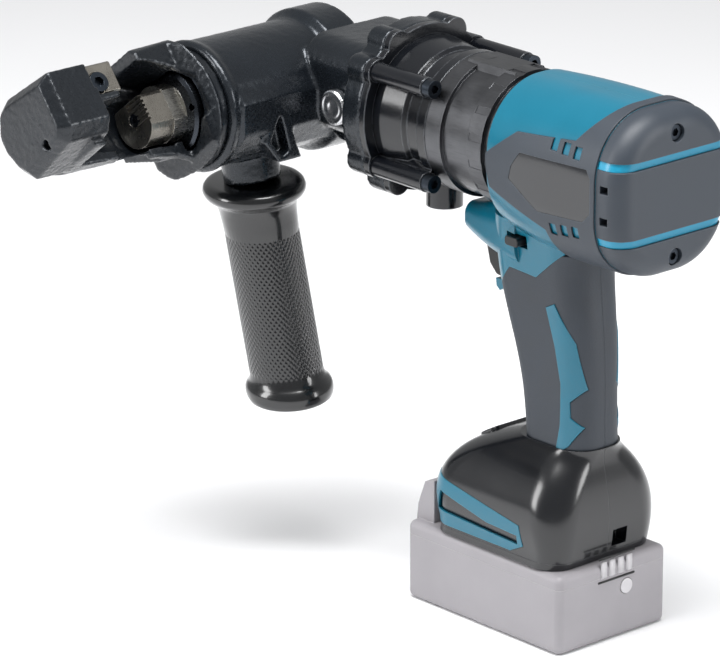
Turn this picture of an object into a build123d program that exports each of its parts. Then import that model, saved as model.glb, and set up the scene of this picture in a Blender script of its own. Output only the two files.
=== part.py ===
"""Cordless hydraulic steel-rod cutter with a side-mounted cutting head, in millimetres.

+X runs forwards along the motor, +Y to the operator's left along the hydraulic
cylinder, +Z up. The origin is the centre of the battery pack's underside.
"""

import os
from math import cos, pi, radians, sin

from build123d import *

os.makedirs("parts", exist_ok=True)

# ---------------------------------------------------------------- driving sizes
gap = 0.3  # clearance between neighbouring pieces
wall = 2.6  # moulded wall thickness

# battery pack
pack_length, pack_width = 113.0, 75.0
pack_split_z, pack_top_z = 35.0, 42.0
check_y, check_z, check_r = -9.0, 26.8, 4.0

# battery foot and handle: height, centre x, length, width of each section
foot_bottom_z = 42.4
foot_sections = (
    (foot_bottom_z, -5.0, 91.0, 74.0, 14.0),
    (62.0, -5.5, 95.0, 78.0, 16.0),
    (77.0, -6.0, 92.0, 74.0, 18.0),
    (87.0, -9.0, 82.0, 63.0, 18.0),
    (95.0, -15.0, 67.0, 49.0, 18.0),
    (101.0, -24.0, 52.0, 38.0, 16.0),
)
handle_sections = (
    (96.0, -26.0, 46.0, 36.0, 15.0),
    (120.0, -24.0, 49.0, 35.0, 15.0),
    (146.0, -20.5, 55.0, 35.5, 15.5),
    (170.0, -15.5, 61.0, 37.0, 16.0),
    (196.0, -12.0, 64.0, 40.0, 17.0),
    (214.0, -14.0, 66.0, 46.0, 18.0),
)

# motor barrel: x, width, height, centre z, corner radius of each section
motor_z = 244.0
barrel_sections = (
    (-80.0, 79.0, 84.0, 244.5, 33.0),
    (-52.0, 79.0, 85.0, 244.5, 33.0),
    (-20.0, 78.0, 83.0, 245.0, 34.0),
    (-1.0, 75.0, 79.0, 246.5, 35.0),
)
cap_front_x, cap_rear_x = -80.0, -96.0
cap_screw_dz = 31.5

# gear train: teeth and modules
pinion_teeth, idler_teeth, module_in = 10, 38, 0.8
small_teeth, output_teeth, module_out = 9, 19, 1.0
idler_z = motor_z + module_in * (pinion_teeth + idler_teeth) / 2
pump_z = idler_z - module_out * (small_teeth + output_teeth) / 2
eccentric_throw = 1.5

# pump housing
flange_x, flange_thick, flange_r = 87.0, 13.0, 43.5
rim_screw_r, rim_angles = 40.5, (62, 118, 242, 298)
bolt_circle_r, bolt_angles = 42.0, (36, 144, 216, 324)

# cutting head: cylinder along Y, jaw rolled about the cylinder axis
head_x, head_z = 163.0, 248.9
cylinder_r, collar_r = 33.0, 37.3
cylinder_end_y, collar_y, collar_back_y = 91.0, 19.0, -12.0
bore_r, ram_r = 26.0, 15.0
jaw_roll = 38.0
stroke = 20.0
shear_b = 9.5  # offset of the shear plane from the ram axis
fixed_face_y, cutter_front_y = 147.0, 127.5

# side grip: leans back and to the right
grip_top = (161.5, 50.0, 203.0)
grip_lean_back, grip_lean_right = 8.6, 5.0
grip_length = 119.0

# trigger
trigger_travel = 7.0

# planes of the head: local x is the throat's open side, local z is +Y
throat_dir = (-cos(radians(jaw_roll)), 0, sin(radians(jaw_roll)))
side_dir = (sin(radians(jaw_roll)), 0, cos(radians(jaw_roll)))
head = Plane(origin=(head_x, 0, head_z), x_dir=throat_dir, z_dir=(0, 1, 0))
flank = Plane(origin=(head_x, 0, head_z), x_dir=(0, 1, 0), z_dir=side_dir)
cylinder = Plane(origin=(head_x, 0, head_z), x_dir=(1, 0, 0), z_dir=(0, 1, 0))
grip_dir = Vector(
    -sin(radians(grip_lean_back)), -sin(radians(grip_lean_right)), -cos(radians(grip_lean_back))
).normalized()
grip = Plane(origin=grip_top, x_dir=(0, 1, 0), z_dir=grip_dir)

pieces = {}


def keep(name, part):
    """Label a finished piece and write its STEP file."""
    part.label = name
    export_step(part, f"parts/{name}.step")
    pieces[name] = part


def bar_z(sections, grow=0.0):
    """Loft of rounded rectangles stacked along Z, grown outwards by grow."""
    with BuildPart() as body:
        for z, cx, length, width, corner in sections:
            with BuildSketch(Plane(origin=(cx, 0, z))):
                RectangleRounded(length + 2 * grow, width + 2 * grow, corner + grow)
        loft()
    return body.part


def barrel(grow=0.0, sections=barrel_sections):
    """Loft of rounded rectangles stacked along X, grown outwards by grow."""
    with BuildPart() as body:
        for x, width, height, cz, corner in sections:
            with BuildSketch(Plane(origin=(x, 0, cz), x_dir=(0, 1, 0), z_dir=(1, 0, 0))):
                RectangleRounded(width + 2 * grow, height + 2 * grow, corner + grow)
        loft()
    return body.part


def side_prism(points, y_near, y_far):
    """Prism across Y from a side-view outline of (x, z) points."""
    with BuildPart() as body:
        with BuildSketch(Plane(origin=(0, y_near, 0), x_dir=(1, 0, 0), z_dir=(0, -1, 0))):
            with BuildLine():
                Polyline(*points, close=True)
            make_face()
        extrude(amount=y_near - y_far)
    return body.part


def box(x, y, z):
    """Axis-aligned block from three (low, high) pairs."""
    with BuildPart() as body:
        with BuildSketch(Plane(origin=((x[0] + x[1]) / 2, (y[0] + y[1]) / 2, z[0]))):
            Rectangle(x[1] - x[0], y[1] - y[0])
        extrude(amount=z[1] - z[0])
    return body.part


def rod(plane, radius, start, end):
    """Plain cylinder along a plane's normal, from start to end."""
    with BuildPart() as body:
        with BuildSketch(plane.offset(start)):
            Circle(radius)
        extrude(amount=end - start)
    return body.part


def turned(plane, profile):
    """Solid turned about a plane's normal from (radius, height) points."""
    section = Plane(origin=plane.origin, x_dir=plane.x_dir, z_dir=-plane.y_dir)
    with BuildPart() as body:
        with BuildSketch(section):
            with BuildLine():
                Polyline(*profile, close=True)
            make_face()
        revolve(axis=Axis(plane.origin, plane.z_dir))
    return body.part


def along_x(y=0.0, z=0.0, x=0.0):
    """Plane facing +X whose local y is up."""
    return Plane(origin=(x, y, z), x_dir=(0, 1, 0), z_dir=(1, 0, 0))


def spun(plane, degrees):
    """The same plane turned about its own normal."""
    x_dir = plane.x_dir * cos(radians(degrees)) + plane.y_dir * sin(radians(degrees))
    return Plane(origin=plane.origin, x_dir=x_dir, z_dir=plane.z_dir)


def biggest(part):
    """The largest solid of a part, without loose slivers."""
    return Part() + part.solids().sort_by(SortBy.VOLUME)[-1]


def coil(plane, radius, wire, height, turns):
    """Open helical spring standing on a plane."""
    pitch = height / turns
    path = plane * Helix(pitch=pitch, height=height, radius=radius)
    start = Plane(origin=path @ 0, z_dir=path % 0)
    with BuildPart() as body:
        with BuildSketch(start):
            Circle(wire / 2)
        sweep(path=path.edge())
    return body.part


def gear_outline(teeth, module, phase=0.0, backlash=0.16):
    """Spur gear outline with slim straight-flanked teeth."""
    pitch_r = module * teeth / 2
    tip_r, root_r = pitch_r + 0.8 * module, pitch_r - 1.15 * module
    step = 2 * pi / teeth
    half_tip, half_root = (0.25 - backlash) * step * 0.9, (0.25 - backlash / 3) * step
    with BuildSketch() as outline:
        with BuildLine():
            points = []
            for n in range(teeth):
                middle = radians(phase) + n * step
                for angle, r in ((-half_root, root_r), (-half_tip, tip_r), (half_tip, tip_r), (half_root, root_r)):
                    points.append((r * cos(middle + angle), r * sin(middle + angle)))
            Polyline(*points, close=True)
        make_face()
    return outline.sketch


def gear(plane, teeth, module, start, width, phase=0.0):
    """Spur gear along a plane's normal."""
    with BuildPart() as body:
        extrude(plane.offset(start) * gear_outline(teeth, module, phase), amount=width, dir=plane.z_dir)
    return body.part


def cap_screw(plane, head_r, head_h, shank_r, length):
    """Socket-head screw; the plane's origin is under the head and its normal points out."""
    with BuildPart() as body:
        with BuildSketch(plane):
            Circle(head_r)
        extrude(amount=head_h)
        with BuildSketch(plane.offset(head_h)):
            RegularPolygon(head_r * 0.55, 6)
        extrude(amount=-head_h * 0.6, mode=Mode.SUBTRACT)
        with BuildSketch(plane):
            Circle(shank_r)
        extrude(amount=-length)
    return body.part


def ring_bearing(plane, inner, outer, start, width):
    """Ball bearing simplified to one shielded ring."""
    return turned(
        plane,
        ((inner, start), (outer, start), (outer, start + width), (inner, start + width)),
    )


# ---------------------------------------------------------------- battery pack
rail_head_y, rail_neck_y = 26.5, 21.0
rail_low_z, rail_high_z = 49.8, 60.0
rail_x = (-37.0, 45.0)

with BuildPart() as battery_lower_case:
    with BuildSketch():
        RectangleRounded(pack_length, pack_width, 4)
    extrude(amount=pack_split_z)
    fillet(battery_lower_case.faces().sort_by(Axis.Z)[0].edges(), 3.8)
    with BuildSketch(Plane.XY.offset(wall)):
        RectangleRounded(pack_length - 2 * wall, pack_width - 2 * wall, 3)
    extrude(amount=pack_split_z, mode=Mode.SUBTRACT)
    add(box((pack_length / 2 - 6, pack_length / 2 + 2), (-15.5, 15.5), (17, 40)), mode=Mode.SUBTRACT)
    with BuildSketch(along_x(y=check_y, z=check_z, x=-pack_length / 2 - 1)):
        Circle(check_r + 0.25)
    extrude(amount=5, mode=Mode.SUBTRACT)
keep("battery_lower_case", battery_lower_case.part)

with BuildPart() as battery_upper_case:
    with BuildSketch(Plane.XY.offset(pack_split_z)):
        RectangleRounded(pack_length, pack_width, 4)
    extrude(amount=pack_top_z - pack_split_z)
    fillet(battery_upper_case.faces().sort_by(Axis.Z)[-1].edges(), 3.5)
    with BuildSketch(Plane(origin=(sum(rail_x) / 2, 0, pack_top_z - 0.5))):
        Rectangle(rail_x[1] - rail_x[0], 2 * rail_neck_y)
    extrude(amount=rail_high_z - pack_top_z + 0.5)
    with BuildSketch(Plane(origin=(sum(rail_x) / 2, 0, rail_low_z))):
        Rectangle(rail_x[1] - rail_x[0], 2 * rail_head_y)
    extrude(amount=rail_high_z - rail_low_z)
    add(side_prism(((43, 41), (56, 41), (55, 50), (50, 63), (43, 65)), 31, -31))
    for side in (-1, 1):
        with BuildSketch(Plane(origin=(-18, side * 15, rail_low_z))):
            Rectangle(42, 2.4)
        extrude(amount=12, mode=Mode.SUBTRACT)
    add(box((pack_length / 2 - 6.5, pack_length / 2 + 2), (-15.5, 15.5), (30, 52)), mode=Mode.SUBTRACT)
keep("battery_upper_case", battery_upper_case.part)

cell_r, cell_length = 9.0, 65.0
with BuildPart() as battery_cells:
    for row in (12.2, 30.6):
        for column in range(5):
            with BuildSketch(Plane(origin=((column - 2) * 18.6 - 4, cell_length / 2, row), x_dir=(1, 0, 0), z_dir=(0, -1, 0))):
                Circle(cell_r)
            extrude(amount=cell_length)
    # the upper row sits just under the split
    add(box((-60, 60), (-40, 40), (34.9, 60)), mode=Mode.SUBTRACT)
keep("battery_cells", battery_cells.part)

with BuildPart() as battery_latch:
    add(box((51.2, 57.5), (-15, 15), (23, 46)))
    fillet(battery_latch.edges().filter_by(Axis.X), 3)
    fillet(battery_latch.faces().sort_by(Axis.X)[-1].edges(), 1.5)
    add(box((50.8, 56), (-10, 10), (28, 40)), mode=Mode.SUBTRACT)
    add(box((50.8, 55), (-8, 8), (27.5, 40.5)))
keep("battery_latch", battery_latch.part)

with BuildPart() as battery_check_button:
    with BuildSketch(along_x(y=check_y, z=check_z, x=-pack_length / 2 - 0.6)):
        Circle(check_r)
    extrude(amount=3.0)
    fillet(battery_check_button.faces().sort_by(Axis.X)[0].edges(), 0.35)
keep("battery_check_button", battery_check_button.part)

with BuildPart() as battery_terminals:
    for side in (-1, 1):
        for offset in (-0.9, 0.9):
            add(box((-36.5, -4), (side * 15 + offset - 0.25, side * 15 + offset + 0.25), (rail_low_z + 0.1, 58)))
keep("battery_terminals", battery_terminals.part)

# ---------------------------------------------------------------- battery foot
foot_full = bar_z(foot_sections)
foot_core_cut = box((-43, 70), (-27, 27), (rail_low_z - 0.6, rail_high_z + 0.7))
foot_neck_cut = box((-43, 70), (-rail_neck_y - 0.5, rail_neck_y + 0.5), (30, rail_high_z))
front_cut = box((41.6, 80), (-34, 34), (30, 66.5))
handle_core = bar_z(handle_sections, -wall - 0.05)
board_bay = box((-36, 24), (-19, 19), (64.5, 80))
rear_notch = box((-60, -44.5), (-13, -3), (48, 57))
side_band_outline = ((43, 49), (43, 74), (36, 74), (-28, 63), (-30, 52), (-20, 47), (30, 47))
side_band_prisms = {side: side_prism(side_band_outline, side * 30, side * 50) for side in (-1, 1)}
rim_slab = box((-70, 60), (-50, 50), (foot_bottom_z - 1, 46.0))
foot_skin = foot_full - bar_z(foot_sections, -1.2)

for side, name in ((1, "left"), (-1, "right")):
    half = box((-80, 80), tuple(sorted((0.02 * side, 60 * side))), (30, 130))
    with BuildPart() as foot_half:
        add(foot_full)
        for cut in (foot_core_cut, foot_neck_cut, front_cut, board_bay, rear_notch):
            add(cut, mode=Mode.SUBTRACT)
        add(bar_z(handle_sections, -wall + gap), mode=Mode.SUBTRACT)
        add(foot_skin & side_band_prisms[side], mode=Mode.SUBTRACT)
        add(foot_skin & rim_slab, mode=Mode.SUBTRACT)
        add(half, mode=Mode.INTERSECT)
    keep(f"foot_{name}", foot_half.part)

with BuildPart() as foot_rim:
    add(foot_full - bar_z(foot_sections, -1.15))
    add(box((-70, 60), (-50, 50), (foot_bottom_z - 1, 45.95)), mode=Mode.INTERSECT)
    add(box((36, 80), (-31, 31), (30, 80)), mode=Mode.SUBTRACT)
keep("foot_rim", foot_rim.part)

for side, name in ((1, "left"), (-1, "right")):
    with BuildPart() as side_band:
        add(bar_z(foot_sections, 0.25) - bar_z(foot_sections, -1.15))
        add(side_prism(((43, 49.1), (43, 73.9), (36, 73.9), (-27.9, 62.9), (-29.9, 52.1), (-20, 47.1), (30, 47.1)),
                       side * 30, side * 50), mode=Mode.INTERSECT)
        add(side_prism(((34, 55), (-26, 52), (-26, 57), (-4, 58), (30, 66)), side * 30, side * 50), mode=Mode.SUBTRACT)
    keep(f"side_band_{name}", side_band.part)

with BuildPart() as indicator_panel:
    panel = Plane(origin=(23.5, 0, 91.2), x_dir=(0, 1, 0), z_dir=(0.5, 0, 0.86))
    with BuildSketch(panel):
        RectangleRounded(26, 13, 4)
    extrude(amount=2.4)
    fillet(indicator_panel.faces().sort_by(Axis.Z)[-1].edges(), 0.8)
    add(foot_full, mode=Mode.SUBTRACT)
keep("indicator_panel", indicator_panel.part)

with BuildPart() as terminal_block:
    add(box((-42.8, -37.6), (-24, 24), (50, 60)))
    for side in (-1, 1):
        add(box((-38, -22), (side * 15 - 0.4, side * 15 + 0.4), (52, 57)))
keep("terminal_block", terminal_block.part)

with BuildPart() as controller:
    add(box((-34, 22), (-17, 17), (65.2, 67)))
    for cx, w, h in ((-22, 10, 9), (-6, 12, 11), (10, 10, 6)):
        add(box((cx - w / 2, cx + w / 2), (-11, 11), (66.9, 66.9 + h)))
keep("controller", controller.part)

# ---------------------------------------------------------------- motor housing and handle
handle_full = bar_z(handle_sections)
barrel_full = barrel()
nose_sections = ((-6.0, 46.0, 34.0, 205.0, 12.0), (20.0, 34.0, 26.0, 202.0, 10.0), (43.0, 22.0, 15.0, 202.5, 6.0))
nose = barrel(sections=nose_sections)
guard_outline = ((24, 178), (23, 170), (20.5, 168), (16, 171), (10, 188), (6, 200), (14, 200), (19, 186))
guard = side_prism(guard_outline, 7.5, -7.5)

motor_bay = rod(along_x(z=motor_z), 33.2, -90, 8)
case_socket = rod(along_x(z=pump_z), 36.4, -3, 60)
switch_bay = box((-38, 5), (-11.5, 11.5), (150, 204))
handle_bay = bar_z(handle_sections, -wall - 3.2)
trigger_slot = box((-2, 60), (-9.2, 9.2), (174, 198.6))
grip_outline = ((-80, 90), (40, 90), (40, 166), (23.5, 166), (15, 171), (1, 188), (-18, 187), (-46, 211), (-80, 211))
grip_zone = side_prism(grip_outline, 60, -60)
lock_bore = box((-13, 1), (-40, 40), (200.6, 207.4))
led_bore = rod(along_x(z=202.5), 3.3, 40, 50)
top_block_cut = box((0, 60), (-11, 11), (270, 289))

body_shell = (barrel_full + nose + guard) - motor_bay - case_socket - led_bore
body_shell = body_shell + (bar_z(handle_sections, -wall))
body_shell = body_shell - switch_bay - handle_bay - trigger_slot - lock_bore - motor_bay - case_socket - top_block_cut
body_shell = body_shell - box((-100, 100), (-60, 60), (60, 99))
teal_handle = (handle_full - bar_z(handle_sections, -wall - 0.05)) - grip_zone
teal_handle = teal_handle - trigger_slot - lock_bore - motor_bay - case_socket
body_shell = body_shell + teal_handle

for side, name in ((1, "left"), (-1, "right")):
    half = box((-100, 60), tuple(sorted((0.02 * side, 60 * side))), (90, 300))
    with BuildPart() as housing:
        add(body_shell)
        add(half, mode=Mode.INTERSECT)
    keep(f"housing_{name}", housing.part)



def cap_block(grow, rear_x, front_x, rounding):
    """Rear cap outline as a block with a rounded rear edge."""
    with BuildPart() as body:
        add(barrel(grow, sections=((rear_x, 79.0, 84.0, 244.5, 33.0), (front_x, 79.0, 84.0, 244.5, 33.0))))
        fillet(body.faces().sort_by(Axis.X)[0].edges(), rounding)
    return body.part


stripe_offsets = (-19.5, 19.5)
stripe_core = cap_block(-1.6, -93.0, -70.0, 9)
trim_shell = cap_block(-0.4, -94.6, -80.2, 10) - cap_block(-1.5, -93.1, -70.0, 9)

with BuildPart() as rear_cover:
    add(cap_block(0, cap_rear_x, cap_front_x - 0.1, 11))
    with BuildSketch(along_x(z=motor_z, x=cap_front_x)):
        Circle(33.2)
    extrude(amount=-10, mode=Mode.SUBTRACT)
    for dz in stripe_offsets:
        groove = box((-100, -79), (-60, 60), (motor_z + dz - 2.1, motor_z + dz + 2.1))
        add(groove - stripe_core, mode=Mode.SUBTRACT)
    for dz in (-cap_screw_dz, cap_screw_dz):
        with BuildSketch(along_x(z=motor_z + dz, x=-90)):
            Circle(4.6)
        extrude(amount=-10, mode=Mode.SUBTRACT)
        with BuildSketch(along_x(z=motor_z + dz, x=-91)):
            Circle(2.1)
        extrude(amount=12, mode=Mode.SUBTRACT)
    for side in (-1, 1):
        for z in (236, 252):
            add(box((-88, -83), tuple(sorted((side * 34, side * 45))), (z - 2, z + 2)), mode=Mode.SUBTRACT)
keep("rear_cover", rear_cover.part)

with BuildPart() as rear_cover_trim:
    for dz in stripe_offsets:
        add(trim_shell & box((-100, -60), (-60, 60), (motor_z + dz - 2.0, motor_z + dz + 2.0)))
keep("rear_cover_trim", rear_cover_trim.part)

frame_outline = ((-62, 271), (-22, 267), (0, 251), (-4, 235), (-44, 222), (-48, 196), (-79.8, 196), (-79.8, 290), (-76, 290))
panel_outline = ((-27, 258), (-74, 260), (-77, 256), (-77, 238), (-72, 233), (-40, 231), (-19, 243), (-21, 250))
frame_layer = barrel(1.1) - barrel(0.0)
frame_layer = frame_layer - box((-300, 300), (-9, 9), (150, 240)) - nose - bar_z(handle_sections, 0.4)
panel_layer = barrel(0.9) - barrel(0.0)
for side, name in ((1, "left"), (-1, "right")):
    with BuildPart() as side_frame:
        add(frame_layer & side_prism(frame_outline, side * 0.02, side * 60))
        add(side_prism(panel_outline, side * 20, side * 60), mode=Mode.SUBTRACT)
        for x, z in ((-66, 266), (-58, 266.5), (-50, 267), (-66, 226), (-58, 225), (-50, 224)):
            add(box((x - 2.4, x + 2.4), tuple(sorted((side * 20, side * 60))), (z - 3, z + 3)), mode=Mode.SUBTRACT)
    keep(f"side_frame_{name}", side_frame.part)
    with BuildPart() as name_panel:
        add(panel_layer & side_prism(panel_outline, side * 20, side * 60))
    keep(f"name_panel_{name}", name_panel.part)

insert_outline = ((-25, 173), (-31, 176), (-42, 157), (-46.5, 133), (-40, 126), (-40.5, 118), (-46, 113), (-40, 103),
                  (-32, 96.5), (-35, 113), (-35, 135), (-31, 154))
grip_layer = (handle_full - bar_z(handle_sections, -wall)) & grip_zone
grip_layer = grip_layer - barrel(1.3) - nose - guard - trigger_slot - foot_full - side_prism(((-100, 202), (60, 202), (60, 240), (-100, 240)), 60, -60)
insert_layer = bar_z(handle_sections, 0.5) - bar_z(handle_sections, -1.4) - foot_full
insert_pocket = bar_z(handle_sections, 2) - bar_z(handle_sections, -1.45)
for side, name in ((1, "left"), (-1, "right")):
    half = box((-100, 60), tuple(sorted((0.02 * side, 60 * side))), (90, 300))
    with BuildPart() as handle_grip:
        add(grip_layer & half)
        add(insert_pocket & side_prism(insert_outline, side * 8, side * 60), mode=Mode.SUBTRACT)
    keep(f"grip_{name}", biggest(handle_grip.part))
    with BuildPart() as handle_insert:
        add(insert_layer & side_prism(insert_outline, side * 8.1, side * 60))
    keep(f"handle_insert_{name}", handle_insert.part)

with BuildPart() as housing_screws:
    for dz in (-cap_screw_dz, cap_screw_dz):
        place = along_x(z=motor_z + dz, x=-91)
        add(cap_screw(Plane(origin=place.origin, x_dir=(0, 1, 0), z_dir=(-1, 0, 0)), 3.9, 3.2, 1.9, 7))
keep("housing_screws", housing_screws.part)

# ---------------------------------------------------------------- controls
with BuildPart() as trigger:
    add(side_prism(((10.6, 198), (29, 198), (30, 190), (27.5, 181), (22.5, 176), (12, 175.2)), 8.6, -8.6))
    fillet(trigger.edges().filter_by(Axis.Y).group_by(Axis.X)[-1], 1.2)
    fillet(trigger.faces().sort_by(Axis.Y)[-1].edges(), 1.6)
    fillet(trigger.faces().sort_by(Axis.Y)[0].edges(), 1.6)
    add(rod(along_x(z=187), 4.6, 9, 12.4), mode=Mode.SUBTRACT)
keep("trigger", trigger.part)

with BuildPart() as lock_button:
    add(box((-10.6, -1.4), (-22.5, 25.5), (201.6, 206.4)))
    fillet(lock_button.edges().filter_by(Axis.Y), 1.6)
    fillet(lock_button.faces().sort_by(Axis.Y)[-1].edges(), 0.6)
    fillet(lock_button.faces().sort_by(Axis.Y)[0].edges(), 0.6)
keep("lock_button", lock_button.part)

with BuildPart() as switch_unit:
    add(box((-34, 0), (-10.5, 10.5), (158, 197)))
    fillet(switch_unit.edges().filter_by(Axis.Y), 1.5)
keep("switch_unit", switch_unit.part)

with BuildPart() as trigger_spring:
    add(coil(along_x(z=187, x=0.6), 3.6, 0.8, 11.2, 4))
keep("trigger_spring", trigger_spring.part)

with BuildPart() as led_lens:
    with BuildSketch(along_x(z=202.5, x=40.3)):
        Circle(3.1)
    extrude(amount=3.4)
    fillet(led_lens.faces().sort_by(Axis.X)[-1].edges(), 1)
keep("led_lens", led_lens.part)

# ---------------------------------------------------------------- motor
motor_axis = along_x(z=motor_z)
shaft_r = 2.5
with BuildPart() as stator:
    add(rod(motor_axis, 33.0, -66, -34))
    add(rod(motor_axis, 15.8, -67, -33), mode=Mode.SUBTRACT)
    for n in range(6):
        slot = spun(motor_axis, 60 * n)
        with BuildSketch(slot.offset(-67)):
            with Locations((22.5, 0)):
                Rectangle(11, 7)
        extrude(amount=34, mode=Mode.SUBTRACT)
keep("stator", stator.part)

with BuildPart() as rotor:
    add(rod(motor_axis, shaft_r, -84, 4))
    add(rod(motor_axis, 15.2, -65, -35))
    add(gear(motor_axis, pinion_teeth, module_in, 4, 8, 0))
keep("rotor", rotor.part)

with BuildPart() as fan:
    add(rod(motor_axis, 30.5, -30, -28.6))
    add(rod(motor_axis, 6, -30, -22))
    for n in range(12):
        blade = spun(motor_axis, 30 * n)
        with BuildSketch(blade.offset(-28.7)):
            with Locations((20, 0)):
                Rectangle(19, 1.2, rotation=18)
        extrude(amount=6.5)
    add(rod(motor_axis, shaft_r, -40, -10), mode=Mode.SUBTRACT)
keep("fan", fan.part)

with BuildPart() as motor_bearings:
    add(ring_bearing(motor_axis, shaft_r + 0.05, 8, -82.5, 5))
    add(ring_bearing(motor_axis, shaft_r + 0.05, 8, -9, 5))
keep("motor_bearings", motor_bearings.part)

with BuildPart() as motor_mounts:
    # rear and front bearing plates
    for start, end in ((-83.5, -77), (-12, -4)):
        add(rod(motor_axis, 33.0, start, end))
        for n in range(6):
            spoke = spun(motor_axis, 60 * n)
            with BuildSketch(spoke.offset(start)):
                with Locations((21, 0)):
                    Circle(7)
            extrude(amount=end - start, mode=Mode.SUBTRACT)
    add(rod(motor_axis, 8, -82.5, -76), mode=Mode.SUBTRACT)
    add(rod(motor_axis, 4.5, -84, -76), mode=Mode.SUBTRACT)
    add(rod(motor_axis, 8, -9, -3), mode=Mode.SUBTRACT)
    add(rod(motor_axis, 4.5, -13, -3), mode=Mode.SUBTRACT)
keep("motor_mounts", motor_mounts.part)

# ---------------------------------------------------------------- gear case
pump_axis = along_x(z=pump_z)
idler_axis = along_x(z=idler_z)
ratio_idler = -pinion_teeth / idler_teeth
ratio_output = pinion_teeth * small_teeth / (idler_teeth * output_teeth)
top_z = 285.0

with BuildPart() as gear_case:
    add(turned(pump_axis, ((0, -2), (33.5, -2), (33.5, 5.3), (36, 5.3), (36, 15.5), (34, 16.5), (34, 35), (36, 35), (36, 45.7), (0, 45.7))))
    with BuildSketch(Plane.YZ.offset(8)):
        with BuildLine():
            Polyline((-22, 262), (-9.5, top_z), (9.5, top_z), (22, 262), close=True)
        make_face()
    extrude(amount=34.5)
    add(turned(pump_axis, ((0, 0.6), (26, 0.6), (26, 41), (0, 41))), mode=Mode.SUBTRACT)
    add(rod(idler_axis, 18.2, 2.5, 24), mode=Mode.SUBTRACT)
    add(rod(motor_axis, 5.2, -4, 4), mode=Mode.SUBTRACT)
    add(rod(pump_axis, 11.1, 40, 45.6), mode=Mode.SUBTRACT)
    add(rod(pump_axis, 7, 40, 47), mode=Mode.SUBTRACT)
    for n in range(16):
        groove = spun(pump_axis, 22.5 * n + 11)
        with BuildSketch(groove.offset(5)):
            with Locations((37.2, 0)):
                Rectangle(3, 4)
        extrude(amount=9.5, mode=Mode.SUBTRACT)
keep("gear_case", gear_case.part)

with BuildPart() as idler_gear:
    add(rod(idler_axis, 3, 1, 30))
    add(gear(idler_axis, idler_teeth, module_in, 4.5, 7, 180 / idler_teeth + 90 * (1 + pinion_teeth / idler_teeth)))
    add(gear(idler_axis, small_teeth, module_out, 12.5, 11, 0))
keep("idler_gear", idler_gear.part)

with BuildPart() as output_shaft:
    add(rod(pump_axis, 5, 13, 62))
    add(gear(pump_axis, output_teeth, module_out, 13.5, 9, 0))
    add(rod(Plane(origin=(0, 0, pump_z + eccentric_throw), x_dir=(0, 1, 0), z_dir=(1, 0, 0)), 9, 50, 60))
keep("output_shaft", output_shaft.part)

with BuildPart() as gear_bearings:
    add(ring_bearing(pump_axis, 5.05, 11, 40.5, 5))
    add(ring_bearing(pump_axis, 5.05, 9, 31, 4))
    add(ring_bearing(idler_axis, 3.05, 6.5, 1.0, 3.2))
    add(ring_bearing(idler_axis, 3.05, 6.5, 25, 4))
keep("gear_bearings", gear_bearings.part)

# ---------------------------------------------------------------- pump housing
plunger_r = 3.5
plunger_axis = Plane(origin=(55, 0, pump_z), x_dir=(1, 0, 0), z_dir=(0, 0, 1))
with BuildPart() as pump_case:
    add(turned(pump_axis, ((0, 46), (36.2, 46), (36.2, 52), (33.5, 55), (33.5, 62), (35.5, 64), (37.5, 78), (37.5, 86.7), (0, 86.7))))
    for angle in bolt_angles:
        boss = spun(pump_axis, angle)
        with BuildSketch(boss.offset(46)):
            with Locations((bolt_circle_r, 0)):
                Circle(5.2)
        extrude(amount=40.7)
        with BuildSketch(boss.offset(46)):
            with Locations((bolt_circle_r - 5, 0)):
                Rectangle(10, 6)
        extrude(amount=40.7)
    add(rod(pump_axis, 14, 45, 66), mode=Mode.SUBTRACT)
    add(rod(plunger_axis, plunger_r + 0.05, 0, 32), mode=Mode.SUBTRACT)
    # boss under the pump case that holds the drain passage
    add(rod(Plane(origin=(70, 0, pump_z - 20), x_dir=(1, 0, 0), z_dir=(0, 0, -1)), 9.5, 0, 29))
    for angle in bolt_angles:
        boss = spun(pump_axis, angle)
        with BuildSketch(boss.offset(45)):
            with Locations((bolt_circle_r, 0)):
                Circle(2.6)
        extrude(amount=45, mode=Mode.SUBTRACT)
keep("pump_case", pump_case.part)

with BuildPart() as case_bolts:
    for angle in bolt_angles:
        place = spun(pump_axis, angle)
        centre = place.from_local_coords((bolt_circle_r, 0, 45.9))
        add(cap_screw(Plane(origin=centre, x_dir=(0, 1, 0), z_dir=(-1, 0, 0)), 4.6, 5.2, 2.5, 44))
keep("case_bolts", case_bolts.part)

# ---------------------------------------------------------------- cutting head
def head_box(a, b, y):
    """Block in the jaw's own directions: a towards the open side, b down the flank, y along the ram."""
    with BuildPart() as body:
        with BuildSketch(head.offset(y[0])):
            with Locations(((a[0] + a[1]) / 2, -(b[0] + b[1]) / 2)):
                Rectangle(a[1] - a[0], b[1] - b[0])
        extrude(amount=y[1] - y[0])
    return body.part


def flange_plate(start, thickness):
    """Round plate with lobes for the case bolts and the rim screws."""
    with BuildPart() as body:
        add(rod(pump_axis, flange_r, start, start + thickness))
        for angle in bolt_angles + rim_angles:
            lobe = spun(pump_axis, angle)
            with BuildSketch(lobe.offset(start)):
                with Locations((rim_screw_r, 0)):
                    Circle(7.5)
            extrude(amount=thickness)
    return body.part


def open_side_prism(points, a_low, a_high):
    """Prism along the open side's direction from (y, b) points."""
    plane = Plane(origin=head.origin, x_dir=(0, 1, 0), z_dir=throat_dir)
    with BuildPart() as body:
        with BuildSketch(plane.offset(a_low)):
            with BuildLine():
                Polyline(*points, close=True)
            make_face()
        extrude(amount=a_high - a_low)
    return body.part


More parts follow.
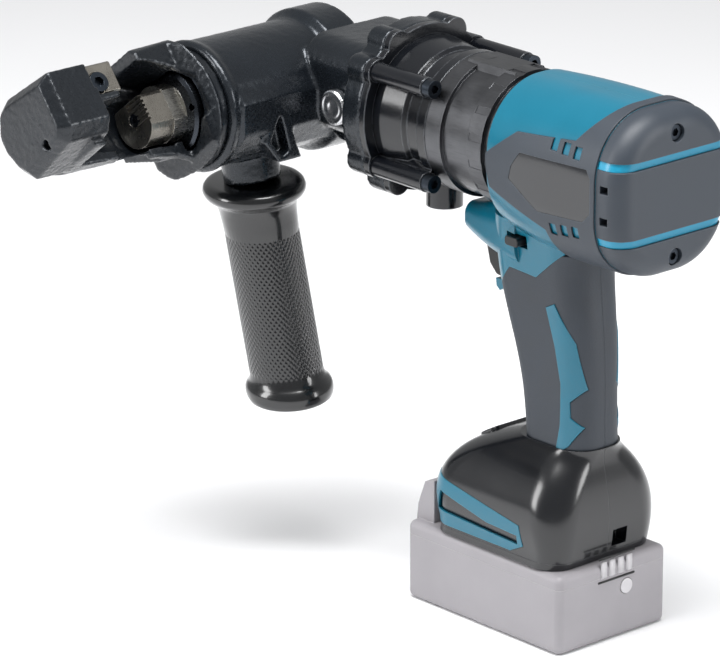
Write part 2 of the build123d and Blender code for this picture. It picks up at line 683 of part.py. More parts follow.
with BuildPart() as head_casting:
    add(turned(cylinder, ((0, collar_back_y), (28, collar_back_y), (collar_r, collar_back_y + 9), (collar_r, collar_y - 3),
                          (cylinder_r, collar_y + 1), (cylinder_r, 84), (cylinder_r + 1.2, 87), (cylinder_r + 1.2, 89.5),
                          (cylinder_r - 0.8, cylinder_end_y), (0, cylinder_end_y))))
    # fairing from the cylinder's crown line down its rear side
    with BuildSketch(Plane(origin=(head_x, 84, head_z), x_dir=(1, 0, 0), z_dir=(0, -1, 0))):
        with BuildLine():
            Polyline((-25, 21.5), (-34.5, 7), (-34.5, -10), (-25, -24), (0, -30), (0, 20), close=True)
        make_face()
    extrude(amount=84 + 4)
    # pump block between the flange and the cylinder
    with BuildSketch(along_x(z=256, x=flange_x + flange_thick)):
        RectangleRounded(69, 50, 15)
    extrude(amount=40)
    # rounded belly under the block
    add(rod(Plane(origin=(124, 0, 240), x_dir=(1, 0, 0), z_dir=(0, 1, 0)), 15, -22, 20))
    add(flange_plate(flange_x + 0.3, flange_thick - 0.3))
    # triangular lug on the rear side of the cylinder, hollow between its arms
    with BuildSketch(Plane.YZ.offset(128.5)):
        with BuildLine():
            Polyline((57, 255), (61, 255), (69.5, 233), (60, 221), (45, 221), (48, 228), close=True)
        make_face()
    extrude(amount=20)
    with BuildSketch(Plane.YZ.offset(127)):
        with BuildLine():
            Polyline((59, 247), (65.5, 233), (58, 223.5), (53, 226), close=True)
        make_face()
    extrude(amount=9, mode=Mode.SUBTRACT)
    # boss that takes the side grip
    add(rod(grip, 15, -24, -0.3))
    # bores
    add(rod(cylinder, bore_r, 4, 80), mode=Mode.SUBTRACT)
    add(rod(cylinder, 30, 77.9, 100), mode=Mode.SUBTRACT)
    add(rod(grip, 4.1, -20, 5), mode=Mode.SUBTRACT)
    for angle in rim_angles:
        recess = spun(pump_axis, angle)
        with BuildSketch(recess.offset(flange_x + flange_thick - 4)):
            with Locations((rim_screw_r, 0)):
                Circle(3.7)
        extrude(amount=6, mode=Mode.SUBTRACT)
    add(rod(Plane(origin=(111, 0, 250), x_dir=(1, 0, 0), z_dir=(0, 1, 0)), 3.6, 20, 60), mode=Mode.SUBTRACT)
    for angle in bolt_angles:
        bolt_hole = spun(pump_axis, angle)
        with BuildSketch(bolt_hole.offset(flange_x - 1)):
            with Locations((bolt_circle_r, 0)):
                Circle(2.6)
        extrude(amount=5, mode=Mode.SUBTRACT)
keep("head_casting", head_casting.part)

with BuildPart() as pump_flange:
    add(flange_plate(83, flange_x - 83))
    add(rod(pump_axis, 37.6, 80, 90), mode=Mode.SUBTRACT)
    for angle in bolt_angles:
        boss = spun(pump_axis, angle)
        with BuildSketch(boss.offset(80)):
            with Locations((bolt_circle_r, 0)):
                Circle(5.3)
        extrude(amount=10, mode=Mode.SUBTRACT)
        with BuildSketch(boss.offset(80)):
            with Locations((bolt_circle_r - 5, 0)):
                Rectangle(10, 6.2)
        extrude(amount=10, mode=Mode.SUBTRACT)
keep("pump_flange", pump_flange.part)

with BuildPart() as flange_screws:
    for angle in rim_angles:
        place = spun(pump_axis, angle)
        centre = place.from_local_coords((rim_screw_r, 0, flange_x + flange_thick - 3.9))
        add(cap_screw(Plane(origin=centre, x_dir=(0, 1, 0), z_dir=(1, 0, 0)), 3.5, 3.4, 1.5, 0.05))
keep("flange_screws", flange_screws.part)

knob_plane = Plane(origin=(111, 0, 250), x_dir=(1, 0, 0), z_dir=(0, 1, 0))
with BuildPart() as release_knob:
    add(turned(knob_plane, ((0, 24), (3.55, 24), (3.55, 35.3), (8.6, 35.3), (9.4, 36.0), (9.4, 39.6), (8.7, 40.3), (0, 40.3))))
    for n in range(30):
        with BuildSketch(spun(knob_plane, 12 * n).offset(35)):
            with Locations((9.75, 0)):
                Rectangle(1.0, 0.9, rotation=45)
        extrude(amount=6, mode=Mode.SUBTRACT)
keep("release_knob", release_knob.part)

with BuildPart() as pump_plunger:
    add(rod(plunger_axis, plunger_r, 9 + eccentric_throw + 0.3, 31.5))
keep("pump_plunger", pump_plunger.part)

with BuildPart() as piston:
    add(rod(cylinder, bore_r - 0.05, 8, 22))
    add(rod(cylinder, ram_r, 22, 113))
    fillet(piston.faces().sort_by(Axis.Y)[0].edges(), 1)
    add(head_box((12.5, 30), (-30, 30), (104.8, 114)), mode=Mode.SUBTRACT)
    add(rod(cylinder, 2.1, 109, 114), mode=Mode.SUBTRACT)
keep("piston", piston.part)

with BuildPart() as return_spring:
    add(coil(cylinder.offset(24.5), 20.3, 3.6, 51, 6))
keep("return_spring", return_spring.part)

with BuildPart() as gland_nut:
    add(turned(cylinder, ((ram_r + 0.05, 78), (22.9, 78), (22.9, 97), (22.0, 99), (22.0, 103), (20.5, 104.5), (ram_r + 0.05, 104.5))))
    for n in range(4):
        with BuildSketch(spun(cylinder, 90 * n + 20).offset(98)):
            with Locations((19, 0)):
                Circle(2)
        extrude(amount=8, mode=Mode.SUBTRACT)
keep("gland_nut", gland_nut.part)

end_y, inner_y = 201.0, 171.0
notch_a = -9.0


nose_outline = ((40, -23), (40, 6.5), (33.5, 12.5), (-3, 16.5), (-10, 9), (-14.5, -2), (-14.5, -12), (-7, -23), (2, -26))
with BuildPart() as jaw_frame:
    # channel seen from its flank: back line, then the rim on the open side
    with BuildSketch(flank.offset(-40)):
        with BuildLine():
            Polyline((91.2, -32), (122, -30), (155, -22), (178, -16), (178, 28), (150, 28), (126, 24), (104, 21),
                     (97, 33), (91.2, 33), close=True)
        make_face()
    extrude(amount=80)
    # the same channel seen from its open side, narrowing towards the nose
    add(open_side_prism(((91.2, -32.5), (97, -32), (127, -30.5), (172, -26.5), (182, -24), (182, 15.5), (172, 16.5),
                         (150, 17.5), (125, 21.5), (112, 23.5), (103, 28), (97, 32), (91.2, 32.5)), -45, 45), mode=Mode.INTERSECT)
    add(turned(cylinder, ((0, 91), (31, 91), (31, 96), (36.6, 100), (36.6, 190), (0, 190))), mode=Mode.INTERSECT)
    # relief along the back of the flush side
    with BuildSketch(head.offset(102)):
        with BuildLine():
            Polyline((-2, -24), (-45, -5), (-45, -60), (-2, -60), close=True)
        make_face()
    extrude(amount=18, mode=Mode.SUBTRACT)
    with BuildSketch(head.offset(120)):
        with BuildLine():
            Polyline((-2, -18.5), (-40, -2), (-40, -60), (-2, -60), close=True)
        make_face()
    extrude(amount=60, mode=Mode.SUBTRACT)
    # nose block with bevelled edges round its flat end face
    with BuildSketch(head.offset(inner_y)):
        with BuildLine():
            Polyline(*[(a, -b) for a, b in nose_outline], close=True)
        make_face()
    extrude(amount=end_y - inner_y - 5)
    extrude(jaw_frame.faces().sort_by(Axis.Y)[-1], amount=5, taper=42)
    # ram passage, throat, rod notch across both walls, low rim on the flush side
    add(open_side_prism(((100.5, -8), (106, -16), (118, -21), (127, -23.2), (150, -23.2), (150, -6), (inner_y, -6),
                         (inner_y, 11), (150, 12.6), (125, 16.8), (112, 18), (100.5, 12)), notch_a, 60), mode=Mode.SUBTRACT)
    add(rod(cylinder, 17, 90, 133.5), mode=Mode.SUBTRACT)
    add(rod(cylinder, 15, 133, 147.2), mode=Mode.SUBTRACT)
    add(head_box((notch_a, 60), (-60, 60), (128, 147)), mode=Mode.SUBTRACT)
    add(head_box((2.5, 60), (8, 60), (103, inner_y)), mode=Mode.SUBTRACT)
    add(head_box((3.4, 60), (-60, -9.5), (146.5, inner_y + 1.5)), mode=Mode.SUBTRACT)
    # machined land beside the fixed cutter
    add(head_box((notch_a - 1, 19), (-9.4, -6.3), (151, inner_y + 1)))
    add(rod(cylinder, 23.0, 90, 106), mode=Mode.SUBTRACT)
    # threaded collar that screws into the cylinder
    add(turned(cylinder, ((23, 80.1), (29.9, 80.1), (29.9, 91.3), (23, 91.3))))
    # screw hole in the seat and a small blind hole in the end face
    screw_seat = Plane(origin=flank.from_local_coords((158.5, 0, 16)), x_dir=(0, 1, 0), z_dir=throat_dir)
    add(rod(screw_seat, 3, -10, 30), mode=Mode.SUBTRACT)
    add(rod(Plane(origin=head.from_local_coords((21, -7.5, end_y)), x_dir=(1, 0, 0), z_dir=(0, 1, 0)), 2.6, -8, 2),
        mode=Mode.SUBTRACT)
keep("jaw_frame", jaw_frame.part)

with BuildPart() as fixed_cutter:
    add(head_box((3.5, 26), (-26, -shear_b - 0.2), (fixed_face_y, inner_y + 1.4)))
    chamfer(fixed_cutter.edges().filter_by(Axis.Y), 0.8)
    add(rod(screw_seat, 3.1, 0, 30), mode=Mode.SUBTRACT)
    add(rod(screw_seat, 5.8, 22, 30), mode=Mode.SUBTRACT)
keep("fixed_cutter", fixed_cutter.part)

with BuildPart() as fixed_cutter_screw:
    add(cap_screw(screw_seat.offset(22.05), 5.3, 5.2, 2.95, 30))
keep("fixed_cutter_screw", fixed_cutter_screw.part)

with BuildPart() as moving_cutter:
    add(rod(cylinder, 14.5, 113.05, cutter_front_y))
    add(head_box((-30, 30), (-30, -shear_b + 0.2), (100, 140)), mode=Mode.SUBTRACT)
    add(head_box((12.5, 30), (-30, 30), (100, 140)), mode=Mode.SUBTRACT)
    for n in range(6):
        add(head_box((-1, 14), (-8.6 + 2.4 * n, -7.3 + 2.4 * n), (cutter_front_y - 1.2, cutter_front_y + 1)),
            mode=Mode.SUBTRACT)
    add(rod(cylinder, 3.6, cutter_front_y - 3.1, cutter_front_y + 1), mode=Mode.SUBTRACT)
    add(rod(cylinder, 2.1, 110, cutter_front_y), mode=Mode.SUBTRACT)
keep("moving_cutter", moving_cutter.part)

with BuildPart() as cutter_screw:
    add(cap_screw(cylinder.offset(cutter_front_y - 3), 3.4, 2.6, 2, 11))
keep("cutter_screw", cutter_screw.part)

# ---------------------------------------------------------------- side grip
with BuildPart() as side_grip:
    add(turned(grip, ((4.2, 0), (23, 0), (26.2, 1.8), (27, 4.6), (26.2, 7.4), (23, 9.6), (20.6, 13), (19.9, 20), (19.5, 28),
                      (19.5, 102), (19.9, 107), (22.6, 109.5), (23.2, 113), (22.4, 117), (20, grip_length), (7.5, grip_length),
                      (7.5, 112), (4.2, 112))))
keep("side_grip", side_grip.part)

with BuildPart() as grip_stud:
    add(rod(grip, 4.0, -19.5, 112.2))
    add(rod(grip, 7.0, 112.1, 117.5))
keep("grip_stud", grip_stud.part)
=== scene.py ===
from math import cos, pi, radians, sin

import bmesh
import bpy
from mathutils import Matrix, Vector, noise


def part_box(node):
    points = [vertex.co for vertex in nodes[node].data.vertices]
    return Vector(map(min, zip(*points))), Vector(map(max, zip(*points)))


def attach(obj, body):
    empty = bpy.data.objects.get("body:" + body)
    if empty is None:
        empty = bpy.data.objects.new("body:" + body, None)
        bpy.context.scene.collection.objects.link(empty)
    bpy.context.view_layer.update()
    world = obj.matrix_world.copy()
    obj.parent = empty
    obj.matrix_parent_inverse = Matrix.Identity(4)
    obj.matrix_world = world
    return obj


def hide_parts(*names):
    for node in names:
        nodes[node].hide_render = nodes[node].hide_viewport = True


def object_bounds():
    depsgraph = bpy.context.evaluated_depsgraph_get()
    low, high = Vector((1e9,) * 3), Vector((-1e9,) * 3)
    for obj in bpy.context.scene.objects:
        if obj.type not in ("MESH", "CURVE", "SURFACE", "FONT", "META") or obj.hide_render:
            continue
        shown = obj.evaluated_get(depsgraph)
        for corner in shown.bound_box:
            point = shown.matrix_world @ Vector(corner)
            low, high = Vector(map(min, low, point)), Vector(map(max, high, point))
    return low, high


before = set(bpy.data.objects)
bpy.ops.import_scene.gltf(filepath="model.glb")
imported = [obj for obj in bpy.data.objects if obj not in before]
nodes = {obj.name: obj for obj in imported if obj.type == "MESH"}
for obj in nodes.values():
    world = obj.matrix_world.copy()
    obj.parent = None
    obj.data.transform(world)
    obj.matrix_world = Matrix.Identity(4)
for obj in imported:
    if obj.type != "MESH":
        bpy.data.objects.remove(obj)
cad_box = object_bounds()

MM = 0.001
scene = bpy.context.scene


# ---------------------------------------------------------------- shader maths
BEVEL_SAMPLES = 4
# cosine between the true and the rounded normal at which a face counts as flat
FLAT_ENOUGH, FLAT_SOFTNESS = 0.93, 0.06


class Wire:
    """A shader socket that takes part in plain arithmetic."""

    def __init__(self, finish, socket):
        self.finish, self.socket = finish, socket

    def maths(self, operation, *values):
        node = self.finish.node("ShaderNodeMath", {"operation": operation}, dict(enumerate(values)))
        return Wire(self.finish, node.outputs[0])

    def __add__(self, other):
        return self.maths("ADD", self, other)

    def __sub__(self, other):
        return self.maths("SUBTRACT", self, other)

    def __rsub__(self, other):
        return self.maths("SUBTRACT", other, self)

    def __mul__(self, other):
        return self.maths("MULTIPLY", self, other)

    __radd__, __rmul__ = __add__, __mul__

    def above(self, edge, soft):
        """0 below edge, 1 above it, with a soft step between."""
        limits = {"Value": self, "From Min": edge - soft, "From Max": edge + soft}
        node = self.finish.node("ShaderNodeMapRange", {"clamp": True}, limits)
        return Wire(self.finish, node.outputs["Result"])


class Finish:
    """One procedural material under construction."""

    def __init__(self, name, **fixed):
        self.material = bpy.data.materials.new(name)
        self.material.use_nodes = True
        self.tree = self.material.node_tree
        self.shader = self.tree.nodes["Principled BSDF"]
        for socket, value in fixed.items():
            self.shader.inputs[socket.replace("_", " ")].default_value = value
        self.place = self.node("ShaderNodeTexCoord").outputs["Object"]

    def node(self, kind, settings=None, sockets=None):
        node = self.tree.nodes.new(kind)
        for key, value in (settings or {}).items():
            setattr(node, key, value)
        for key, value in (sockets or {}).items():
            self.feed(node.inputs[key], value)
        return node

    def feed(self, socket, value):
        if isinstance(value, Wire):
            value = value.socket
        if isinstance(value, bpy.types.NodeSocket):
            self.tree.links.new(value, socket)
        else:
            socket.default_value = value

    def noise(self, size_mm, detail=3.0, stretch=(1, 1, 1)):
        """Cloudy noise between 0 and 1 whose blotches are about size_mm across."""
        vector = self.node("ShaderNodeVectorMath", {"operation": "MULTIPLY"},
                           {0: self.place, 1: stretch})
        node = self.node("ShaderNodeTexNoise", {},
                         {"Vector": vector.outputs[0], "Scale": 1000.0 / size_mm, "Detail": detail})
        return Wire(self, node.outputs[0])

    def pits(self, size_mm):
        """Distance to the nearest of many scattered points about size_mm apart."""
        node = self.node("ShaderNodeTexVoronoi", {}, {"Vector": self.place, "Scale": 1000.0 / size_mm})
        return Wire(self, node.outputs["Distance"])

    def edge_wear(self, radius_mm=0.8):
        """1 within radius_mm of an edge, 0 on open faces."""
        plain_normal = self.node("ShaderNodeNewGeometry").outputs["Normal"]
        dot = self.node("ShaderNodeVectorMath", {"operation": "DOT_PRODUCT"},
                        {0: self.rounded(radius_mm), 1: plain_normal})
        return 1 - Wire(self, dot.outputs["Value"]).above(FLAT_ENOUGH, FLAT_SOFTNESS)

    def rounded(self, radius_mm):
        """Normals of the same surface with its edges rounded off."""
        return self.node("ShaderNodeBevel", {"samples": BEVEL_SAMPLES}, {"Radius": radius_mm * MM}).outputs[0]

    def colour(self, mask, low, high):
        """Blend from low to high by mask; each is a socket or a display colour, 0 to 255."""
        node = self.node("ShaderNodeMix", {"data_type": "RGBA"}, {"Factor": mask})
        first, second = [s for s in node.inputs if s.name in "AB" and s.type == "RGBA"]
        result = next(s for s in node.outputs if s.type == "RGBA")
        self.feed(first, linear(low) if isinstance(low, tuple) else low)
        self.feed(second, linear(high) if isinstance(high, tuple) else high)
        return result

    def surface(self, colour=None, roughness=None, bumps=(), rounding_mm=0.5):
        """Colour and roughness wires, and (height, depth in mm) bumps over rounded edges."""
        if colour is not None:
            self.feed(self.shader.inputs["Base Color"], colour)
        if roughness is not None:
            self.feed(self.shader.inputs["Roughness"], roughness)
        normal = None
        if rounding_mm:
            normal = self.rounded(rounding_mm)
        for height, depth_mm in bumps:
            bump = self.node("ShaderNodeBump", {},
                             {"Height": height, "Distance": depth_mm * MM, "Strength": 1.0})
            if normal is not None:
                self.feed(bump.inputs["Normal"], normal)
            normal = bump.outputs[0]
        if normal is not None:
            self.feed(self.shader.inputs["Normal"], normal)
        return self.material


def linear(rgb):
    """Display colour, 0 to 255, as the shader's linear colour by the sRGB curve."""
    scaled = [c / 255 for c in rgb]
    return tuple(c / 12.92 if c <= 0.04045 else ((c + 0.055) / 1.055) ** 2.4 for c in scaled) + (1.0,)


def shaded(rgb, share):
    return tuple(c * share for c in rgb)


def moulded(name, rgb, roughness, grain_mm=0.5, depth_mm=0.02, rounding_mm=0.6, wear=0.10, coat=0.0):
    """Injection-moulded plastic: fine grain, faint clouding, lighter rubbed edges."""
    finish = Finish(name, Coat_Weight=coat, Coat_Roughness=0.12)
    cloud = finish.noise(28, 4)
    grain = finish.noise(grain_mm, 3)
    rubbed = finish.edge_wear(0.7)
    chalk = 235
    lighter = tuple(c + (chalk - c) * wear for c in rgb)
    base = finish.colour(cloud, shaded(rgb, 0.90), rgb)
    return finish.surface(finish.colour(rubbed * 0.8, base, lighter), roughness + (cloud - 0.5) * 0.12,
                          [(grain, depth_mm)], rounding_mm)


def cast(name, rgb, roughness, lump_mm=1.2, depth_mm=0.10, metallic=0.35):
    """Painted sand casting: pebbled skin, worn brighter along its edges."""
    finish = Finish(name, Metallic=metallic, Coat_Weight=0.35, Coat_Roughness=0.18)
    pebble = finish.noise(lump_mm, 5)
    pits = finish.pits(lump_mm * 2.2)
    cloud = finish.noise(22, 4)
    rubbed = finish.edge_wear(1.2) * finish.noise(3, 4).above(0.42, 0.15)
    bare_metal = (128, 132, 138)
    base = finish.colour(cloud, shaded(rgb, 0.72), rgb)
    return finish.surface(finish.colour(rubbed * 0.6, base, bare_metal),
                          roughness + (pebble - 0.5) * 0.22,
                          [(pebble, depth_mm), (pits, depth_mm * 0.5)], 1.0)


def metal(name, rgb, roughness, stretch=(1, 1, 1), scratch_mm=0.35, depth_mm=0.008, rounding_mm=0.3):
    """Bare machined metal with fine tool marks, stretched along one way."""
    finish = Finish(name, Metallic=1.0)
    marks = finish.noise(scratch_mm, 4, stretch)
    stain = finish.noise(9, 4)
    scored = marks.above(0.62, 0.1)
    base = finish.colour(stain, shaded(rgb, 0.82), rgb)
    return finish.surface(finish.colour(scored * 0.35, base, shaded(rgb, 0.6)),
                          roughness + (marks - 0.5) * 0.25 + (stain - 0.5) * 0.1,
                          [(marks, depth_mm)], rounding_mm)


def rubber(name, rgb):
    """Soft over-moulded rubber with a pebbled, slightly dusty skin."""
    finish = Finish(name)
    skin = finish.pits(0.9)
    dust = finish.noise(14, 5)
    base = finish.colour(dust, shaded(rgb, 0.85), shaded(rgb, 1.12))
    return finish.surface(base, 0.56 + (dust - 0.5) * 0.16,
                          [(skin, 0.05), (finish.noise(0.35, 2), 0.02)], 0.8)


def lens_glass():
    """Clear lens with faint moulded rings."""
    finish = Finish("work_light_lens", Transmission_Weight=0.85, IOR=1.49, Roughness=0.08)
    rings = finish.noise(1.2, 2)
    return finish.surface(finish.colour(rings, (225, 232, 238), (248, 250, 252)), 0.06 + rings * 0.08,
                          [(rings, 0.02)], 0.3)


teal = moulded("teal_housing", (0, 100, 124), 0.30, 0.45, 0.012, 0.7, 0.16, coat=0.15)
teal_stripe = moulded("teal_stripe", (22, 138, 172), 0.30, 0.4, 0.008, 0.4, 0.15)
charcoal = moulded("charcoal_cover", (48, 55, 64), 0.50, 0.7, 0.035, 0.8, 0.18)
grip_skin = rubber("grip_rubber", (43, 49, 57))
foot_gloss = moulded("foot_satin", (7, 9, 14), 0.24, 0.6, 0.010, 0.9, 0.22, coat=0.4)
panel_gloss = moulded("panel_gloss", (16, 19, 24), 0.18, 0.8, 0.004, 0.4, 0.12, coat=0.5)
pack_grey = moulded("pack_grey", (150, 147, 151), 0.48, 0.6, 0.020, 0.8, 0.25)
pack_pale = moulded("pack_pale", (196, 194, 197), 0.42, 0.5, 0.010, 0.5, 0.2)
black_plastic = moulded("black_plastic", (14, 15, 17), 0.42, 0.5, 0.012, 0.6, 0.2)
cell_green = moulded("cell_wrap", (70, 130, 110), 0.35)
contact = metal("contact_brass", (214, 178, 104), 0.3)
steel = metal("ground_steel", (176, 174, 168), 0.28, (1, 0.08, 1))
dark_screw = metal("blackened_screw", (62, 68, 76), 0.36, scratch_mm=0.6)
case_alloy = metal("case_alloy", (104, 105, 108), 0.34, (0.06, 1, 1), 0.5, 0.015)
pump_paint = cast("pump_paint", (15, 18, 24), 0.20, 0.8, 0.03, 0.2)
cylinder_cast = cast("cylinder_cast", (34, 40, 47), 0.28, 1.0, 0.07, 0.6)
jaw_cast = cast("jaw_cast", (32, 37, 43), 0.30, 1.3, 0.12, 0.55)
gland_dark = metal("gland_steel", (64, 68, 74), 0.26, (1, 0.05, 1), 0.5)
blade = metal("blade_steel", (168, 163, 154), 0.30, (1, 1, 0.1), 0.4, 0.012)
knob_bright = metal("knob_turned", (228, 229, 232), 0.22, scratch_mm=0.5)
lens = lens_glass()

grip_finish = Finish("side_grip_gloss", Coat_Weight=0.6, Coat_Roughness=0.08)
grip_cloud = grip_finish.noise(18, 4)
grip_black = grip_finish.surface(
    grip_finish.colour(grip_cloud, (4, 5, 6), (11, 13, 16)), 0.24 + (grip_cloud - 0.5) * 0.12,
    [(grip_finish.noise(0.4, 3), 0.006)], 0)

finish_of = {
    teal: ("housing_left", "housing_right", "side_band_left", "side_band_right", "handle_insert_left",
           "handle_insert_right"),
    teal_stripe: ("rear_cover_trim",),
    charcoal: ("rear_cover", "side_frame_left", "side_frame_right"),
    grip_skin: ("grip_left", "grip_right"),
    foot_gloss: ("foot_left", "foot_right", "foot_rim"),
    panel_gloss: ("indicator_panel", "name_panel_left", "name_panel_right"),
    pack_grey: ("battery_lower_case", "battery_upper_case"),
    pack_pale: ("battery_check_button", "battery_latch"),
    black_plastic: ("trigger", "lock_button", "terminal_block", "switch_unit", "controller", "fan"),
    lens: ("led_lens",),
    cell_green: ("battery_cells",),
    contact: ("battery_terminals",),
    steel: ("motor_bearings", "gear_bearings", "rotor", "stator", "idler_gear", "output_shaft",
            "pump_plunger", "trigger_spring", "return_spring", "piston", "grip_stud"),
    dark_screw: ("housing_screws", "case_bolts", "flange_screws", "fixed_cutter_screw", "cutter_screw"),
    case_alloy: ("gear_case", "motor_mounts"),
    pump_paint: ("pump_case", "pump_flange"),
    cylinder_cast: ("head_casting",),
    jaw_cast: ("jaw_frame",),
    gland_dark: ("gland_nut",),
    blade: ("fixed_cutter", "moving_cutter"),
    knob_bright: ("release_knob",),
    grip_black: ("side_grip",),
}
for material, names in finish_of.items():
    for name in names:
        if name in nodes:
            slots = nodes[name].data.materials
            slots.clear()
            slots.append(material)


# ---------------------------------------------------------------- mesh helpers
def piece(name, mesh, material, body, smooth=True):
    """Link a finished mesh, in the row frame, and let it ride on a body."""
    thing = bpy.data.objects.new(name, mesh)
    scene.collection.objects.link(thing)
    mesh.materials.clear()
    mesh.materials.append(material)
    if smooth:
        mesh.polygons.foreach_set("use_smooth", [True] * len(mesh.polygons))
    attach(thing, body)
    return thing


def lathe(name, origin, axis, across, rings, segments, relief=None):
    """Closed turned mesh from (radius, height) rings; relief(angle, height) lifts the skin."""
    axis, across = axis.normalized(), across.normalized()
    third = axis.cross(across)
    mesh = bmesh.new()
    rows = []
    for radius, height in rings:
        row = []
        for n in range(segments):
            angle = 2 * pi * n / segments
            r = radius + (relief(angle, height) if relief else 0.0)
            outward = across * cos(angle) + third * sin(angle)
            row.append(mesh.verts.new(origin + axis * height + outward * r))
        rows.append(row)
    for low, high in zip(rows, rows[1:]):
        for n in range(segments):
            after = (n + 1) % segments
            mesh.faces.new((low[n], low[after], high[after], high[n]))
    mesh.faces.new(list(reversed(rows[0])))
    mesh.faces.new(rows[-1])
    bmesh.ops.recalc_face_normals(mesh, faces=mesh.faces)
    data = bpy.data.meshes.new(name)
    mesh.to_mesh(data)
    mesh.free()
    return data


FINER = 2.3  # the second layer of casting lumps against the first


def softened(node, voxel_mm, passes, lump_mm, height_mm):
    """Copy of a CAD node's mesh with rounded edges and an uneven cast skin."""
    temp = bpy.data.objects.new(node + "_work", nodes[node].data.copy())
    scene.collection.objects.link(temp)
    remesh = temp.modifiers.new("remesh", "REMESH")
    remesh.mode, remesh.voxel_size = "VOXEL", voxel_mm * MM
    smooth = temp.modifiers.new("smooth", "SMOOTH")
    smooth.factor, smooth.iterations = 0.5, passes
    bpy.context.view_layer.update()
    shaped = temp.evaluated_get(bpy.context.evaluated_depsgraph_get())
    data = bpy.data.meshes.new_from_object(shaped)
    bpy.data.objects.remove(temp)
    moved = []
    for v in data.vertices:
        coarse = noise.noise(v.co * (1000 / lump_mm))
        fine = noise.noise(v.co * (FINER * 1000 / lump_mm))
        moved.append(v.co + v.normal * (coarse + 0.5 * fine) * height_mm * MM)
    for v, co in zip(data.vertices, moved):
        v.co = co
    return data


def blocks(name, places, material, body, bevel_mm=0.4):
    """Several rounded blocks in one mesh, each a (centre, size) pair in millimetres."""
    mesh = bmesh.new()
    for centre, size in places:
        for v in bmesh.ops.create_cube(mesh, size=1.0)["verts"]:
            v.co = Vector([c * length for c, length in zip(v.co, size)]) * MM + Vector(centre) * MM
    bmesh.ops.bevel(mesh, geom=mesh.edges[:], offset=bevel_mm * MM, segments=3, affect="EDGES")
    data = bpy.data.meshes.new(name)
    mesh.to_mesh(data)
    mesh.free()
    return piece(name, data, material, body)


# ---------------------------------------------------------------- castings
casting_mesh = softened("head_casting", voxel_mm=0.9, passes=4, lump_mm=3.0, height_mm=0.10)
casting = piece("cast_cylinder_body", casting_mesh, cylinder_cast, "tool")
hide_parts("head_casting")
jaw_mesh = softened("jaw_frame", voxel_mm=0.8, passes=5, lump_mm=2.6, height_mm=0.14)
jaw = piece("cast_jaw_channel", jaw_mesh, jaw_cast, "tool")
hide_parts("jaw_frame")

# ---------------------------------------------------------------- side grip
lean_back, lean_right = radians(8.6), radians(5.0)
grip_axis = Vector((-sin(lean_back), -sin(lean_right), -cos(lean_back))).normalized()
grip_top = Vector((161.5, 50.0, 203.0)) * MM
# the knurled band's ends below the grip's top, its ridges round and the rise of one ridge, in mm
knurl_low, knurl_high = 27.0, 103.0
knurl_ridges, knurl_pitch, knurl_run_out = 44, 3.4, 1.5
knurl_depth, knurl_flat, knurl_mean = 0.55 * MM, 0.75, 0.45


def knurl(angle, height):
    """Crossed diamond knurl over the middle of the grip."""
    h = height / MM
    if not knurl_low < h < knurl_high:
        return 0.0
    one = abs(((angle * knurl_ridges / (2 * pi) + h / knurl_pitch) % 1.0) - 0.5) * 2
    two = abs(((angle * knurl_ridges / (2 * pi) - h / knurl_pitch) % 1.0) - 0.5) * 2
    fade = min(1.0, (h - knurl_low) / knurl_run_out, (knurl_high - h) / knurl_run_out)
    return knurl_depth * fade * (min(one, two, knurl_flat) - knurl_mean)


grip_rings = [(5.0, 0.0), (21.5, 0.0), (23.4, 0.25), (25.2, 1.0), (26.4, 2.3), (27.0, 4.4), (26.6, 6.2),
              (25.4, 7.9), (23.6, 9.2), (22.0, 10.4), (21.0, 12.0), (20.2, 16.0), (19.8, 21.0), (19.5, 26.5)]
grip_rings += [(19.3, knurl_low + 0.5 * n) for n in range(1, 152)]
grip_rings += [(19.5, 103.5), (19.9, 106.5), (21.2, 108.2), (22.6, 109.8), (23.2, 112.4), (23.0, 115.0),
               (22.0, 117.6), (20.4, 118.8), (17.0, 119.0), (12.0, 118.6), (7.6, 117.8)]
grip_mesh = lathe("knurled_side_grip", grip_top, grip_axis, Vector((1, 0, 0)),
                  [(r * MM, h * MM) for r, h in grip_rings], 352, knurl)
grip = piece("knurled_side_grip", grip_mesh, grip_black, "tool")
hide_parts("side_grip", "grip_stud")

# ---------------------------------------------------------------- release knob
knob_thick = 5.0 * MM
knob_centre = Vector((0.111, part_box("release_knob")[1].y - knob_thick, 0.25))
rim_ridges, rim_depth, rim_band = 40, 0.28 * MM, (0.6 * MM, 4.4 * MM)


def rim_knurl(angle, height):
    """Straight ridges round the rim of the knob."""
    if not rim_band[0] < height < rim_band[1]:
        return 0.0
    return rim_depth * (abs((angle * rim_ridges / pi) % 2 - 1) - 0.5)


knob_rings = [(3.5, -11.0), (3.5, 0.0), (8.2, 0.0), (9.0, 0.6), (9.1, 1.2), (9.1, 2.4), (9.1, 3.6),
              (9.0, 4.3), (8.3, 4.9), (7.4, 5.0), (7.0, 4.7), (5.4, 4.62), (5.0, 4.8), (3.4, 4.72),
              (3.0, 4.5), (1.2, 4.4)]
knob_mesh = lathe("knurled_release_knob", knob_centre, Vector((0, 1, 0)), Vector((1, 0, 0)),
                  [(r * MM, h * MM) for r, h in knob_rings], 240, rim_knurl)
knob = piece("knurled_release_knob", knob_mesh, knob_bright, "knob")
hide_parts("release_knob")

# ---------------------------------------------------------------- small details
pack_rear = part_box("battery_lower_case")[0].x / MM
bars = [((pack_rear - 0.1, y, 39.0), (0.8, 4.2, 8.6)) for y in (6.9, 1.0, -4.9, -10.8)]
blocks("charge_gauge_bars", bars, pack_pale, "battery", 0.3)
rails = [((pack_rear - 0.05, -2.0, z), (0.7, 25.5, 1.2)) for z in (45.2, 32.8)]
blocks("charge_gauge_frame", rails, black_plastic, "battery", 0.25)

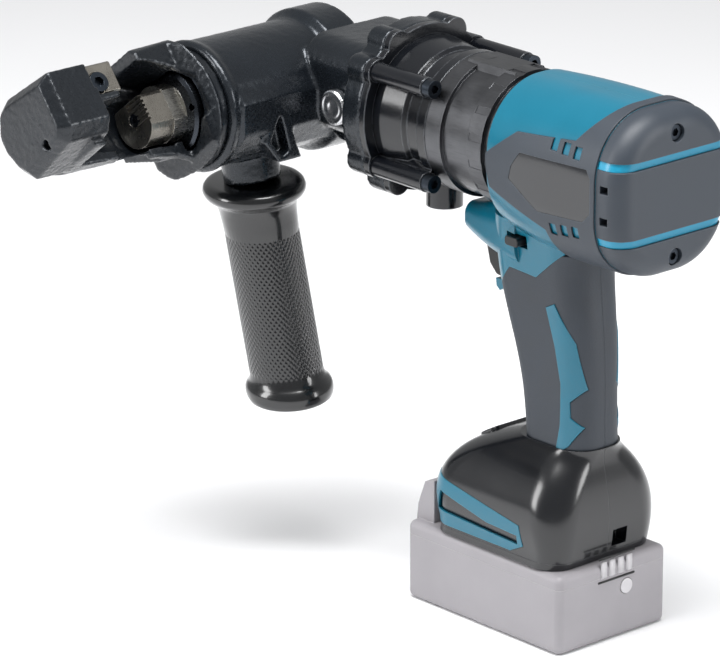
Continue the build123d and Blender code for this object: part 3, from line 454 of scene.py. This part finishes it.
# ---------------------------------------------------------------- floor, light, camera
floor_z, reach = cad_box[0].z, 6
corners = [(x, y, floor_z) for x, y in ((-reach, -reach), (reach, -reach), (reach, reach), (-reach, reach))]
floor_mesh = bpy.data.meshes.new("studio_floor")
floor_mesh.from_pydata(corners, [], [(0, 1, 2, 3)])
floor = bpy.data.objects.new("studio_floor", floor_mesh)
scene.collection.objects.link(floor)
floor_paint = Finish("studio_floor", Roughness=0.85)
floor_shade = floor_paint.colour(floor_paint.noise(400, 2), (238, 238, 239), (243, 243, 244))
floor_paint.surface(floor_shade, rounding_mm=0)
floor_mesh.materials.append(floor_paint.material)

world = bpy.data.worlds.new("studio")
scene.world = world
world.use_nodes = True
backdrop = world.node_tree.nodes["Background"].inputs
backdrop["Color"].default_value = (0.95, 0.96, 0.97, 1)
backdrop["Strength"].default_value = 0.42

middle = Vector((0.05, 0.03, 0.18))


def softbox(name, place, width, height, power):
    """Rectangular lamp of power watts that faces the middle of the tool."""
    lamp = bpy.data.lights.new(name, "AREA")
    lamp.shape, lamp.size, lamp.size_y, lamp.energy = "RECTANGLE", width, height, power
    thing = bpy.data.objects.new(name, lamp)
    thing.location = place
    thing.rotation_euler = (middle - Vector(place)).to_track_quat("-Z", "Y").to_euler()
    scene.collection.objects.link(thing)


softbox("top_softbox", (-0.15, 0.25, 1.5), 1.0, 0.6, 30)
softbox("left_softbox", (0.7, 1.5, 0.8), 0.5, 1.1, 18)
softbox("rear_softbox", (-1.5, -0.7, 0.7), 0.5, 1.0, 14)

aim = Vector((0.7056, -0.6300, -0.3245)).normalized()
up = Vector((0.2421, -0.2161, 0.9460)).normalized()
right = aim.cross(up).normalized()
view = bpy.data.cameras.new("view")
view.sensor_width, view.lens = 36.0, 276.7
view.clip_start, view.clip_end = 0.05, 30.0
camera = bpy.data.objects.new("view", view)
turn = Matrix((right, right.cross(aim), -aim)).transposed().to_4x4()
camera_place = (-1.9032, 1.8195, 1.0531)
camera.matrix_world = Matrix.Translation(camera_place) @ turn
scene.collection.objects.link(camera)
scene.camera = camera
scene.view_settings.view_transform = "Standard"
